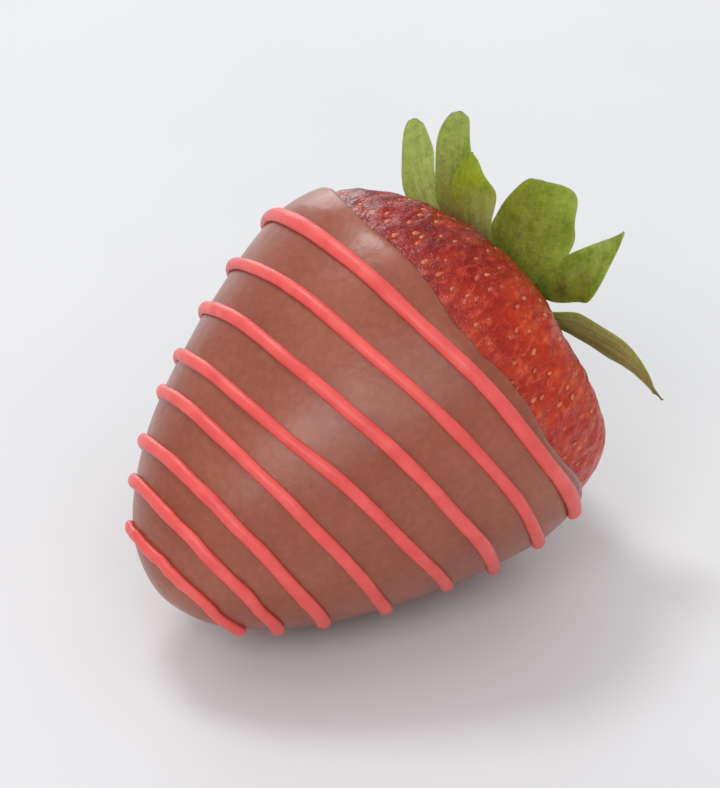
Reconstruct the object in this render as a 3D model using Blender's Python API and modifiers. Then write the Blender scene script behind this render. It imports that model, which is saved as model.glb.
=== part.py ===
"""A chocolate-dipped strawberry lying on its side, striped with drizzled icing.

Run it with: blender --background --python part.py

Units are metres and +Z is up. The origin is the middle of the flat foot that the chocolate
set on, and +X runs level along the berry, from above its tip towards its leaves.

The berry is described round its own axis, which leans up from the tip to the crown. A
station is a distance along that axis from the fruit's tip. An angle is measured round it,
from the upper side (0) over the near side (90 degrees, towards -Y) to the underside (180).
A polar angle runs along the outline, from the tip (0) to the crown (180 degrees).
"""

import math
from collections import namedtuple

import bmesh
import bpy
from mathutils import Vector

# ---------------------------------------------------------------- driving dimensions
FRUIT_LENGTH = 0.0487
FRUIT_RADIUS = 0.0210
WIDEST_SHARE = 0.715  # where along its length the fruit is widest
TIP_POWERS = (1.23, 2.02)  # superellipse powers of the outline, tip to widest
SHOULDER_POWERS = (2.25, 3.08)  # and widest to crown
LEAN = math.radians(18)  # of the axis, so that tip and shoulder lie on one flat foot

CROWN_TILT = 0.09  # slope of the crown against the axis
CROWN_TILT_ANGLE = math.radians(133)  # the side where the shoulder stands furthest out
DIMPLE_RADIUS = 0.0085  # the shallow hollow that the leaves grow from
DIMPLE_DEPTH = 0.0007
LOBES = ((2, 0.4, 0.010), (3, 2.1, 0.012), (5, 0.9, 0.006))  # waves, phase, share of radius
# Where the shoulder sinks or stands out: polar angle, angle, the spread of each, and height.
Swell = namedtuple("Swell", "polar angle polar_spread angle_spread height")
SWELLS = (Swell(148, 80, 13, 26, -0.0015), Swell(125, 117, 17, 26, 0.0008))

GAP = 0.0003  # kept between pieces that touch
COAT_THICK = 0.0010  # at the tip
COAT_THIN = 0.0006  # at the dip line
LIP_SHARE = 0.06  # of the coat's length, over which its edge is rounded
DIP_REACH = 0.0406  # where the dip plane crosses the axis
DIP_SLANT = 0.28  # slope of the dip plane against the axis
DIP_LOW_ANGLE = math.radians(42)  # the side that was dipped least
DIP_WAVES = ((4, 0.1, 0.00012), (8, -1.05, 0.00028))  # waves, phase, height of the edge
FOOT_POOL = 0.0006  # how deep the chocolate pooled before it set
FOOT_BLEND = 0.0012  # height over which the foot runs into the round side
FOOT_ROUND = 0.75  # below 1 the side meets the foot more steeply

DRIZZLE_HEIGHT = 0.0010
DRIZZLE_WAIST = 0.3  # share of its height at which a bead is widest, over its flat back
DRIZZLE_END = 40  # higher for ends that close more abruptly
# Each pass lies in a slanted plane: reach is where that crosses the axis, slant its slope
# against the axis, and low the angle where it comes nearest to the tip. The bead runs round
# the berry from the angle first to the angle last.
Pass = namedtuple("Pass", "reach slant low first last width")
DRIZZLE_PASSES = (
    Pass(0.0364, 0.24, 19, -60, 125, 0.0020),
    Pass(0.0309, 0.27, 10, -84, 129, 0.0015),
    Pass(0.0255, 0.31, 12, -88, 135, 0.0016),
    Pass(0.0201, 0.37, 13, -82, 130, 0.0015),
    Pass(0.0149, 0.33, 23, -92, 135, 0.0015),
    Pass(0.0095, 0.33, 26, -86, 133, 0.0016),
    Pass(0.0057, 0.37, 30, -94, 139, 0.0015),
    Pass(0.0022, 0.45, 26, -102, 149, 0.0015),
)

HUB_RADIUS = 0.0032
HUB_THICK = 0.00135
HUB_DOME = 0.0002  # how much thicker the hub is at the stem
STEM_RADIUS = 0.0010
STEM_FOOT_RADIUS = 0.0020  # the stem runs out into the hub with a sloping foot
STEM_FOOT_HEIGHT = 0.0010
STEM_LENGTH = 0.0034
LEAF_ROOT = 0.0022  # distance of a leaf's root from the middle of the crown
WHORL_HEIGHTS = (0.3, 0.7)  # of the hub's thickness: the leaves grow in two whorls, in turn
LEAF_THICK = 0.00045
LEAF_ROOT_WIDTH = 0.0010
LEAF_TIP_WIDTH = 0.0006
LEAF_CLAW = 0.4  # share of a leaf's length over which it widens from its narrow root
# A leaf points away from the crown's middle at an angle. It rises by root_rise where it starts
# and by tip_rise where it ends. It is widest near its root for widest below 1 and near its tip
# above 1, pointed for blunt 1 and rounder below, and ends in a thin tail for a share of its
# length. Twist turns it about its length, cup folds its sides up, sweep carries its tip to one
# side, as a share of its length, and skew makes that side wider than the other.
Leaf = namedtuple(
    "Leaf", "angle length width root_rise tip_rise widest blunt tail twist cup sweep skew"
)
LEAVES = (
    Leaf(-63, 0.0205, 0.0042, 4, 70, 1.30, 0.30, 0, 68, 0.20, 0.00, 0),
    Leaf(-24, 0.0192, 0.0045, 0, 65, 1.38, 0.30, 0, 37, 0.20, 0.14, 0),
    Leaf(-16, 0.0165, 0.0046, -2, 34, 1.40, 0.86, 0, 52, 0.30, 0.23, 0.18),
    Leaf(20, 0.0165, 0.0087, 20, 18, 0.72, 0.32, 0, 26, 0.20, 0.02, 0.30),
    Leaf(66, 0.0167, 0.0058, 14, 48, 1.30, 0.90, 0, -65, 0.25, -0.23, 0.40),
    Leaf(102, 0.0195, 0.0064, 12, -23, 1.40, 0.43, 0.03, -5, 0.35, 0.00, 0.40),
    Leaf(150, 0.0155, 0.0068, 2, -26, 1.00, 0.80, 0, 12, 0.25, 0.05, 0),
    Leaf(191, 0.0170, 0.0056, 7, -6, 0.90, 0.85, 0, -14, 0.25, -0.08, 0),
    Leaf(232, 0.0162, 0.0080, 10, 30, 1.05, 0.65, 0, 10, 0.25, 0.06, 0),
    Leaf(273, 0.0160, 0.0048, 9, 3, 0.85, 0.90, 0, -20, 0.25, 0.10, 0),
)

# ---------------------------------------------------------------- mesh resolution
FRUIT_SEGMENTS, FRUIT_RINGS = 36, 20
COAT_SEGMENTS, COAT_RINGS = 44, 34
COAT_OUTER_SHARE = 0.60  # of the rings: these form the outside, the rest the inside
COAT_CROWDING = 0.4  # how much closer the rings lie at the dip line
BEAD_SEGMENTS, BEAD_RINGS = 8, 23
HUB_STEPS = 16
LEAF_STEPS_ALONG, LEAF_STEPS_ACROSS = 8, 4
LEAF_CROWDING = 0.4  # how much closer the steps lie at a leaf's tip
PROBE = 0.01  # radians between the points that a slope of the surface is taken from

AXIS = Vector((math.cos(LEAN), 0, math.sin(LEAN)))
UPPER_SIDE = Vector((-math.sin(LEAN), 0, math.cos(LEAN)))
NEAR_SIDE = Vector((0, -1, 0))
# The crown's own axis: the fruit's, turned away from the side where the shoulder stands out.
CROWN_LOW = UPPER_SIDE * math.cos(CROWN_TILT_ANGLE) + NEAR_SIDE * math.sin(CROWN_TILT_ANGLE)
CROWN_AXIS = (AXIS - CROWN_LOW * CROWN_TILT).normalized()
CROWN_TURN = AXIS.rotation_difference(CROWN_AXIS)


# ---------------------------------------------------------------- the berry's surface
def outline(polar):
    """Station and radius of the fruit's round outline, before its lobes."""
    widest = FRUIT_LENGTH * WIDEST_SHARE
    from_middle = abs(math.cos(polar))
    if polar < math.pi / 2:
        station = widest * (1 - from_middle)
        bulge, root = TIP_POWERS
    else:
        station = widest + (FRUIT_LENGTH - widest) * from_middle
        bulge, root = SHOULDER_POWERS
    radius = FRUIT_RADIUS * max(1 - from_middle**bulge, 0) ** (1 / root)
    if polar > math.pi / 2 and radius < DIMPLE_RADIUS:
        station -= DIMPLE_DEPTH * (1 - (radius / DIMPLE_RADIUS) ** 2) ** 2
    return station, radius


def outline_outset(polar, outset):
    """The outline moved outwards by outset, square to itself."""
    station, radius = outline(polar)
    before = outline(max(polar - PROBE, 0))
    after = outline(min(polar + PROBE, math.pi))
    run, rise = after[0] - before[0], after[1] - before[1]
    length = math.hypot(run, rise)
    return station - outset * rise / length, max(radius + outset * run / length, 0)


def lobes(polar, angle):
    """How far the fruit swells or sinks against a round one, as a share of its radius."""
    swell = sum(share * math.cos(waves * angle + phase) for waves, phase, share in LOBES)
    return 1 + swell * math.sin(polar)


def swelling(polar, angle):
    """How far the shoulder stands out or sinks against its outline here."""
    total = 0
    for swell in SWELLS:
        above = (polar - math.radians(swell.polar)) / math.radians(swell.polar_spread)
        turned = 1 - math.cos(angle - math.radians(swell.angle))
        beside = 2 * turned / math.radians(swell.angle_spread) ** 2
        total += swell.height * math.exp(-(above**2) - beside)
    return total


def crown_shift(polar, radius, angle):
    """How far the tilt of the crown moves the shoulder along the axis."""
    shoulder = max(-math.cos(polar), 0)
    return CROWN_TILT * shoulder * radius * math.cos(angle - CROWN_TILT_ANGLE)


def along_axis(station, radius, angle):
    """A point given round the berry's axis, measured from the fruit's tip."""
    across = UPPER_SIDE * math.cos(angle) + NEAR_SIDE * math.sin(angle)
    return AXIS * station + across * radius


def raw_surface(polar, angle, outset):
    """A point outset from the fruit's skin, measured from the fruit's tip."""
    station, radius = outline_outset(polar, outset + swelling(polar, angle))
    station += crown_shift(polar, radius, angle)
    return along_axis(station, radius * lobes(polar, angle), angle)


def find_tip():
    """Where the fruit's tip is, so that the coat's foot lies on z = 0 about the origin."""
    underside = range(160, 201, 10)
    points = []
    for polar in range(180):
        for angle in underside:
            place = math.radians(polar), math.radians(angle)
            points.append(raw_surface(*place, GAP + COAT_THICK))
    lowest = min(point.z for point in points)
    foot = [point.x for point in points if point.z < lowest + FOOT_POOL]
    return Vector((-(min(foot) + max(foot)) / 2, 0, -lowest))


FRUIT_TIP = find_tip()


def surface(polar, angle, outset=0.0):
    """A point outset from the fruit's skin, in the part's own frame."""
    return FRUIT_TIP + raw_surface(polar, angle, outset)


def surface_normal(polar, angle, outset):
    """The outward direction of that surface."""
    along = surface(polar + PROBE, angle, outset) - surface(polar - PROBE, angle, outset)
    around = surface(polar, angle + PROBE, outset) - surface(polar, angle - PROBE, outset)
    return around.cross(along).normalized()


def polar_on_plane(angle, reach, slant, low_angle):
    """Where the outline at this angle meets a plane that crosses the axis at reach."""
    low, high = 0.0, math.pi
    for _ in range(30):
        polar = (low + high) / 2
        station, radius = outline(polar)
        station += crown_shift(polar, radius, angle)
        if station + slant * radius * math.cos(angle - low_angle) < reach:
            low = polar
        else:
            high = polar
    return (low + high) / 2


# ---------------------------------------------------------------- making meshes
def reshaped_sphere(name, segments, rings, place):
    """A UV sphere whose points are moved by place(polar angle, angle round the pole)."""
    mesh = bpy.data.meshes.new(name)
    ball = bmesh.new()
    bmesh.ops.create_uvsphere(ball, u_segments=segments, v_segments=rings, radius=1)
    for vertex in ball.verts:
        polar = math.acos(max(-1.0, min(1.0, -vertex.co.z)))
        vertex.co = place(polar, math.atan2(vertex.co.y, vertex.co.x))
    ball.to_mesh(mesh)
    ball.free()
    mesh.shade_smooth()
    return bpy.data.objects.new(name, mesh)


def material(name, colour, roughness):
    made = bpy.data.materials.new(name)
    made.use_nodes = True
    shader = made.node_tree.nodes["Principled BSDF"]
    shader.inputs["Base Color"].default_value = (*colour, 1)
    shader.inputs["Roughness"].default_value = roughness
    shader.inputs["Metallic"].default_value = 0
    return made


def finish(piece, collection, paint):
    collection.objects.link(piece)
    piece.data.materials.append(paint)


# ---------------------------------------------------------------- the pieces
def make_fruit():
    """The whole strawberry: the coat hides all of it but the shoulder."""
    return reshaped_sphere("fruit", FRUIT_SEGMENTS, FRUIT_RINGS, surface)


def dip_edge(angle):
    """Polar angle of the dip line, with the small waves of a dipped edge."""
    edge = sum(height * math.sin(waves * angle + phase) for waves, phase, height in DIP_WAVES)
    return polar_on_plane(angle, DIP_REACH + edge, DIP_SLANT, DIP_LOW_ANGLE)


def settle(point):
    """Lets the chocolate near the floor pool into a flat foot."""
    height = point.z
    share = (height - FOOT_POOL) / FOOT_BLEND
    if share >= 1:
        return point
    foot_height = (FOOT_POOL + FOOT_BLEND) * max(share, 0) ** FOOT_ROUND
    return Vector((point.x, point.y, foot_height))


def coat_point(polar, angle):
    """Folds a sphere into a cup: its outside, then the lip, then its inside."""
    share = polar / math.pi
    edge = dip_edge(angle)
    if share < COAT_OUTER_SHARE:
        along = share / COAT_OUTER_SHARE
    else:
        along = (1 - share) / (1 - COAT_OUTER_SHARE)
    along *= 1 + COAT_CROWDING * (1 - along)
    thickness = COAT_THICK + (COAT_THIN - COAT_THICK) * along
    lip = math.sqrt(max(1 - ((1 - along) / LIP_SHARE) ** 2, 0))
    middle = GAP + thickness / 2
    if share < COAT_OUTER_SHARE:
        outset = GAP + thickness - (GAP + thickness - middle) * lip
        return settle(surface(edge * along, angle, outset))
    return surface(edge * along, angle, GAP + (middle - GAP) * lip)


def make_coat():
    return reshaped_sphere("chocolate_coat", COAT_SEGMENTS, COAT_RINGS, coat_point)


def coat_outset(polar, angle):
    """How far the outside of the coat stands off the fruit at this place."""
    along = min(polar / dip_edge(angle), 1)
    return GAP + COAT_THICK + (COAT_THIN - COAT_THICK) * along


def make_bead(number, lay):
    """One pass of icing: a bead with a flat back and round ends, lying on the coat."""
    low_angle = math.radians(lay.low)

    def place(polar, around):
        share = (1 - math.cos(polar)) / 2
        angle = math.radians(lay.first + (lay.last - lay.first) * share)
        path = polar_on_plane(angle, lay.reach, lay.slant, low_angle)
        outset = coat_outset(path, angle)
        centre = surface(path, angle, outset)
        outward = surface_normal(path, angle, outset)
        ahead_angle = angle + PROBE
        ahead_path = polar_on_plane(ahead_angle, lay.reach, lay.slant, low_angle)
        ahead = surface(ahead_path, ahead_angle, outset)
        sideways = outward.cross(ahead - centre).normalized()
        end = math.sqrt(max(1 - abs(2 * share - 1) ** DRIZZLE_END, 0))
        side = lay.width / 2 * math.cos(around) * end
        rise = max(DRIZZLE_WAIST + (1 - DRIZZLE_WAIST) * math.sin(around) * end, 0)
        return centre + sideways * side + outward * (GAP + DRIZZLE_HEIGHT * rise)

    return reshaped_sphere(f"drizzle_{number}", BEAD_SEGMENTS, BEAD_RINGS, place)


def crown_outwards(angle):
    """The direction away from the middle of the tilted crown."""
    return CROWN_TURN @ (UPPER_SIDE * math.cos(angle) + NEAR_SIDE * math.sin(angle))


def crown_point(distance, height, angle):
    """A point above the middle of the crown, at a distance from it."""
    middle = surface(math.pi, 0)
    return middle + CROWN_AXIS * (GAP + height) + crown_outwards(angle) * distance


def leaf_point(leaf, root_height, along, across):
    """A point of one leaf, with along from 0 at its root to 1 at its tip."""
    angle = math.radians(leaf.angle)
    root_rise = math.radians(leaf.root_rise)
    bend = math.radians(leaf.tip_rise - leaf.root_rise) * along**2
    mean_rise = root_rise + bend / 3
    distance = LEAF_ROOT + leaf.length * along * math.cos(mean_rise)
    height = root_height + leaf.length * along * math.sin(mean_rise)
    outwards = crown_outwards(angle)
    sideways = CROWN_AXIS.cross(outwards)
    slope = root_rise + bend
    face = CROWN_AXIS * math.cos(slope) - outwards * math.sin(slope)
    turn = math.radians(leaf.twist) * (1 - math.cos(math.pi * along)) / 2
    span = sideways * math.cos(turn) + face * math.sin(turn)
    blade_share = min(along / (1 - leaf.tail), 1)
    blade = max(math.sin(math.pi * blade_share**leaf.widest), 0) ** leaf.blunt
    across *= 1 + leaf.skew * across * along
    end_width = LEAF_ROOT_WIDTH + (LEAF_TIP_WIDTH - LEAF_ROOT_WIDTH) * along
    half = max(leaf.width * blade * min(along / LEAF_CLAW, 1), end_width) / 2
    middle = crown_point(distance, height, angle) + sideways * leaf.sweep * leaf.length * along**2
    return middle + span * half * across + face * half * leaf.cup * across**2


def make_leaf(number, leaf):
    """One leaf, solid and ready to be joined to the hub."""
    name = f"leaf_{number}"
    root_height = HUB_THICK * WHORL_HEIGHTS[number % 2]
    mesh = bpy.data.meshes.new(name)
    blade = bmesh.new()
    bmesh.ops.create_grid(
        blade, x_segments=LEAF_STEPS_ALONG, y_segments=LEAF_STEPS_ACROSS, size=0.5
    )
    for vertex in blade.verts:
        share = vertex.co.x + 0.5
        along = share * (1 + LEAF_CROWDING * (1 - share))
        vertex.co = leaf_point(leaf, root_height, along, vertex.co.y * 2)
    blade.to_mesh(mesh)
    blade.free()
    piece = bpy.data.objects.new(name, mesh)
    thicken = piece.modifiers.new("thickness", "SOLIDIFY")
    thicken.thickness = LEAF_THICK
    thicken.offset = 0
    piece.hide_render = True
    piece.display_type = "WIRE"
    return piece


def make_calyx(leaf_collection):
    """The green crown in one solid: a hub with the cut stem, and the leaves joined to it."""
    profile = (
        (0, HUB_THICK + STEM_LENGTH),
        (STEM_RADIUS, HUB_THICK + STEM_LENGTH),
        (STEM_RADIUS, HUB_THICK + STEM_FOOT_HEIGHT),
        (STEM_FOOT_RADIUS, HUB_THICK + HUB_DOME),
        (HUB_RADIUS, HUB_THICK),
        (HUB_RADIUS, 0),
        (0, 0),
    )
    mesh = bpy.data.meshes.new("calyx")
    points = [(radius, 0, height) for radius, height in profile]
    mesh.from_pydata(points, [(i, i + 1) for i in range(len(points) - 1)], [])
    calyx = bpy.data.objects.new("calyx", mesh)
    calyx.location = crown_point(0, 0, 0)
    calyx.rotation_euler = CROWN_AXIS.to_track_quat("Z", "Y").to_euler()
    turn = calyx.modifiers.new("turned", "SCREW")
    turn.axis = "Z"
    turn.steps = turn.render_steps = HUB_STEPS
    turn.use_merge_vertices = True
    turn.merge_threshold = 0.00005
    for number, leaf in enumerate(LEAVES, 1):
        leaf_collection.objects.link(make_leaf(number, leaf))
    join = calyx.modifiers.new("joined", "BOOLEAN")
    join.operation = "UNION"
    join.operand_type = "COLLECTION"
    join.collection = leaf_collection
    return calyx


def main():
    for old in list(bpy.data.objects):
        bpy.data.objects.remove(old)
    berry = bpy.data.collections.new("dipped_strawberry")
    leaves = bpy.data.collections.new("leaves_to_join")
    bpy.context.scene.collection.children.link(berry)
    bpy.context.scene.collection.children.link(leaves)

    finish(make_fruit(), berry, material("strawberry_red", (0.42, 0.015, 0.012), 0.25))
    finish(make_coat(), berry, material("milk_chocolate", (0.25, 0.085, 0.055), 0.35))
    icing = material("coral_icing", (0.80, 0.10, 0.09), 0.35)
    for number, lay in enumerate(DRIZZLE_PASSES, 1):
        finish(make_bead(number, lay), berry, icing)
    finish(make_calyx(leaves), berry, material("leaf_green", (0.13, 0.26, 0.03), 0.45))


main()
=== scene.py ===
"""Looks for the chocolate-dipped strawberry: dimpled fruit with its seeds, satin coat, icing, leafy crown.

The berry is described round its own axis, as in the part's source: a station is a distance along
the axis from the fruit's tip, an angle is measured round it from the upper side (0) over the near
side (90 degrees) to the underside (180), and a polar angle runs from the tip (0) to the crown (pi).
"""

import math
from collections import namedtuple

import bpy
import numpy as np
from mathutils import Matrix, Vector, noise


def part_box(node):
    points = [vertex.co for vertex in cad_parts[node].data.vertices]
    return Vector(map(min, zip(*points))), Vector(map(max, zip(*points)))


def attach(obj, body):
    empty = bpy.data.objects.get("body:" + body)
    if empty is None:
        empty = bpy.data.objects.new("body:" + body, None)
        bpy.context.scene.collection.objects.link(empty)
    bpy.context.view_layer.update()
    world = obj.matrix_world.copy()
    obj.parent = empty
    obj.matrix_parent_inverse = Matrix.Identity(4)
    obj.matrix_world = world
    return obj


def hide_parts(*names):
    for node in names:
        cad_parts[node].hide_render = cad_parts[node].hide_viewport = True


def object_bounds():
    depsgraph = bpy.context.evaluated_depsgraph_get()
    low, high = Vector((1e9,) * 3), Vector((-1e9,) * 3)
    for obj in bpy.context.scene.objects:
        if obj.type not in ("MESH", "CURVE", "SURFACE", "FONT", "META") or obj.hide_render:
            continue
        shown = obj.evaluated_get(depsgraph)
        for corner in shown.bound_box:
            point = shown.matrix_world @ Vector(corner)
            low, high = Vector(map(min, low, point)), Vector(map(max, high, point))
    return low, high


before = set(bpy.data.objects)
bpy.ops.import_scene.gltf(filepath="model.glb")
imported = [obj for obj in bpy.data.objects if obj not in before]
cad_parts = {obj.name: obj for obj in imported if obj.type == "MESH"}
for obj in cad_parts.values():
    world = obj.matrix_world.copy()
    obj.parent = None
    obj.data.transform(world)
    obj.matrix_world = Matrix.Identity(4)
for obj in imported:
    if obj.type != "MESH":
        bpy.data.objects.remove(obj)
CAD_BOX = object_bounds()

# ---------------------------------------------------------------- the berry, as in the part's source
FRUIT_LENGTH = 0.0487
FRUIT_RADIUS = 0.0210
WIDEST_SHARE = 0.715
TIP_POWERS = (1.23, 2.02)
SHOULDER_POWERS = (2.25, 3.08)
LEAN = math.radians(18)
CROWN_TILT = 0.09
CROWN_TILT_ANGLE = math.radians(133)
DIMPLE_RADIUS = 0.0085
DIMPLE_DEPTH = 0.0007
LOBES = ((2, 0.4, 0.010), (3, 2.1, 0.012), (5, 0.9, 0.006))
Swell = namedtuple("Swell", "polar angle polar_spread angle_spread height")
SWELLS = (Swell(148, 80, 13, 26, -0.0015), Swell(125, 117, 17, 26, 0.0008))
CAD_SEGMENTS, CAD_RINGS = 36, 20

COAT_OUTSET = (0.0013, 0.0009)  # of the coat's outside, at the tip and at the dip line
DIP_REACH = 0.0406
DIP_SLANT = 0.28
DIP_LOW_ANGLE = math.radians(42)
DIP_WAVES = ((4, 0.1, 0.00012), (8, -1.05, 0.00028))
FOOT_POOL = 0.0006
FOOT_BLEND = 0.0012
FOOT_ROUND = 0.75

Pass = namedtuple("Pass", "reach slant low first last width")
DRIZZLE_PASSES = (
    Pass(0.0364, 0.24, 19, -60, 125, 0.0018),
    Pass(0.0309, 0.27, 10, -84, 129, 0.0015),
    Pass(0.0255, 0.31, 12, -88, 135, 0.0016),
    Pass(0.0201, 0.37, 13, -82, 130, 0.0015),
    Pass(0.0149, 0.33, 23, -92, 135, 0.0015),
    Pass(0.0095, 0.33, 26, -86, 133, 0.0016),
    Pass(0.0057, 0.37, 30, -94, 139, 0.0015),
    Pass(0.0022, 0.45, 26, -102, 149, 0.0015),
)

HUB_RADIUS = 0.0032
HUB_THICK = 0.00135
STEM_RADIUS = 0.0010
STEM_LENGTH = 0.0034
LEAF_ROOT = 0.0022

AXIS = np.array((math.cos(LEAN), 0, math.sin(LEAN)))
UPPER_SIDE = np.array((-math.sin(LEAN), 0, math.cos(LEAN)))
NEAR_SIDE = np.array((0.0, -1.0, 0.0))
CROWN_LOW = UPPER_SIDE * math.cos(CROWN_TILT_ANGLE) + NEAR_SIDE * math.sin(CROWN_TILT_ANGLE)
CROWN_AXIS = (AXIS - CROWN_LOW * CROWN_TILT) / math.hypot(1, CROWN_TILT)
CROWN_TURN = np.array(Vector(AXIS).rotation_difference(Vector(CROWN_AXIS)).to_matrix())
PROBE = 0.01  # radians between the points that a slope of the surface is taken from


def outline(polar):
    """Station and radius of the fruit's round outline."""
    widest = FRUIT_LENGTH * WIDEST_SHARE
    middle = np.abs(np.cos(polar))
    tipward = np.asarray(polar) < math.pi / 2
    station = np.where(tipward, widest * (1 - middle), widest + (FRUIT_LENGTH - widest) * middle)
    bulge = np.where(tipward, TIP_POWERS[0], SHOULDER_POWERS[0])
    root = np.where(tipward, TIP_POWERS[1], SHOULDER_POWERS[1])
    radius = FRUIT_RADIUS * np.maximum(1 - middle**bulge, 0) ** (1 / root)
    sunk = DIMPLE_DEPTH * (1 - np.minimum(radius / DIMPLE_RADIUS, 1) ** 2) ** 2
    return station - np.where(tipward, 0, sunk), radius


def swelling(polar, angle):
    """How far the shoulder stands out or sinks against its outline."""
    total = 0
    for swell in SWELLS:
        above = (polar - math.radians(swell.polar)) / math.radians(swell.polar_spread)
        beside = 2 * (1 - np.cos(angle - math.radians(swell.angle))) / math.radians(swell.angle_spread) ** 2
        total = total + swell.height * np.exp(-(above**2) - beside)
    return total


def crown_shift(polar, radius, angle):
    shoulder = np.maximum(-np.cos(polar), 0)
    return CROWN_TILT * shoulder * radius * np.cos(angle - CROWN_TILT_ANGLE)


def across(angle):
    """The direction away from the axis at this angle."""
    angle = np.asarray(angle, float)[..., None]
    return UPPER_SIDE * np.cos(angle) + NEAR_SIDE * np.sin(angle)


def raw_surface(polar, angle, outset):
    """Points outset from the fruit's skin, measured from the fruit's tip."""
    polar, angle, outset = np.broadcast_arrays(
        np.asarray(polar, float), np.asarray(angle, float), np.asarray(outset, float)
    )
    station, radius = outline(polar)
    before = outline(np.maximum(polar - PROBE, 0))
    after = outline(np.minimum(polar + PROBE, math.pi))
    run, rise = after[0] - before[0], after[1] - before[1]
    length = np.hypot(run, rise)
    outset = outset + swelling(polar, angle)
    station = station - outset * rise / length
    radius = np.maximum(radius + outset * run / length, 0)
    station = station + crown_shift(polar, radius, angle)
    swell = sum(share * np.cos(waves * angle + phase) for waves, phase, share in LOBES)
    radius = radius * (1 + swell * np.sin(polar))
    return AXIS * station[..., None] + across(angle) * radius[..., None]


def find_tip():
    """Where the fruit's tip is in the frame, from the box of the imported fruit."""
    polar = np.linspace(0, math.pi, CAD_RINGS + 1)[:, None]
    angle = np.linspace(0, 2 * math.pi, CAD_SEGMENTS, endpoint=False)[None, :]
    points = raw_surface(polar, angle, 0).reshape(-1, 3)
    low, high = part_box("fruit")
    return (np.array(low) + np.array(high) - points.min(0) - points.max(0)) / 2


FRUIT_TIP = find_tip()


def surface(polar, angle, outset=0.0):
    return FRUIT_TIP + raw_surface(polar, angle, outset)


def unit(vectors):
    return vectors / np.maximum(np.linalg.norm(vectors, axis=-1, keepdims=True), 1e-12)


def surface_normal(polar, angle, outset=0.0):
    along = surface(polar + PROBE, angle, outset) - surface(polar - PROBE, angle, outset)
    around = surface(polar, angle + PROBE, outset) - surface(polar, angle - PROBE, outset)
    return unit(np.cross(around, along))


def polar_on_plane(angle, reach, slant, low_angle):
    """Where the outline at each angle meets a plane that crosses the axis at reach."""
    angle = np.asarray(angle, float)
    low, high = np.zeros(angle.shape), np.full(angle.shape, math.pi)
    for _ in range(30):
        polar = (low + high) / 2
        station, radius = outline(polar)
        station = station + crown_shift(polar, radius, angle)
        inside = station + slant * radius * np.cos(angle - low_angle) < reach
        low, high = np.where(inside, polar, low), np.where(inside, high, polar)
    return (low + high) / 2


def dip_edge(angle):
    """Polar angle of the dip line."""
    edge = sum(height * np.sin(waves * angle + phase) for waves, phase, height in DIP_WAVES)
    return polar_on_plane(angle, DIP_REACH + edge, DIP_SLANT, DIP_LOW_ANGLE)


# ---------------------------------------------------------------- meshes
def smooth_noise(points, scale, seed):
    """Soft noise from about -1 to 1, with features of about scale metres."""
    offset = Vector((seed * 7.31, seed * 3.17, seed * 5.53))
    flat = np.asarray(points).reshape(-1, 3) / scale
    values = [noise.noise(Vector(point) + offset) for point in flat]
    return np.array(values).reshape(np.asarray(points).shape[:-1])


def loft(name, rings, start, end):
    """A closed mesh over rings of points, each ring an equal number, from one end point to the other."""
    rings = np.asarray(rings, float)
    count, around = rings.shape[:2]
    points = np.concatenate([rings.reshape(-1, 3), [start], [end]])
    here = np.arange(around)
    there = (here + 1) % around
    faces = []
    for ring in range(count - 1):
        low, high = ring * around, (ring + 1) * around
        faces += np.stack([low + here, low + there, high + there, high + here], 1).tolist()
    last = (count - 1) * around
    faces += [(count * around, b, a) for a, b in zip(here.tolist(), there.tolist())]
    faces += [(count * around + 1, last + a, last + b) for a, b in zip(here.tolist(), there.tolist())]
    mesh = bpy.data.meshes.new(name)
    mesh.from_pydata(points, [], faces)
    mesh.shade_smooth()
    return mesh


def store(mesh, name, values):
    """Keeps one number per point for the material to read."""
    attribute = mesh.attributes.new(name, "FLOAT", "POINT")
    attribute.data.foreach_set("value", np.asarray(values, np.float32).ravel())


def add_piece(name, mesh, material, slot, *nodes):
    piece = bpy.data.objects.new(name, mesh)
    bpy.context.scene.collection.objects.link(piece)
    mesh.materials.append(material)
    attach(piece, "root")
    if nodes:
        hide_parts(*nodes)
    return piece


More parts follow.
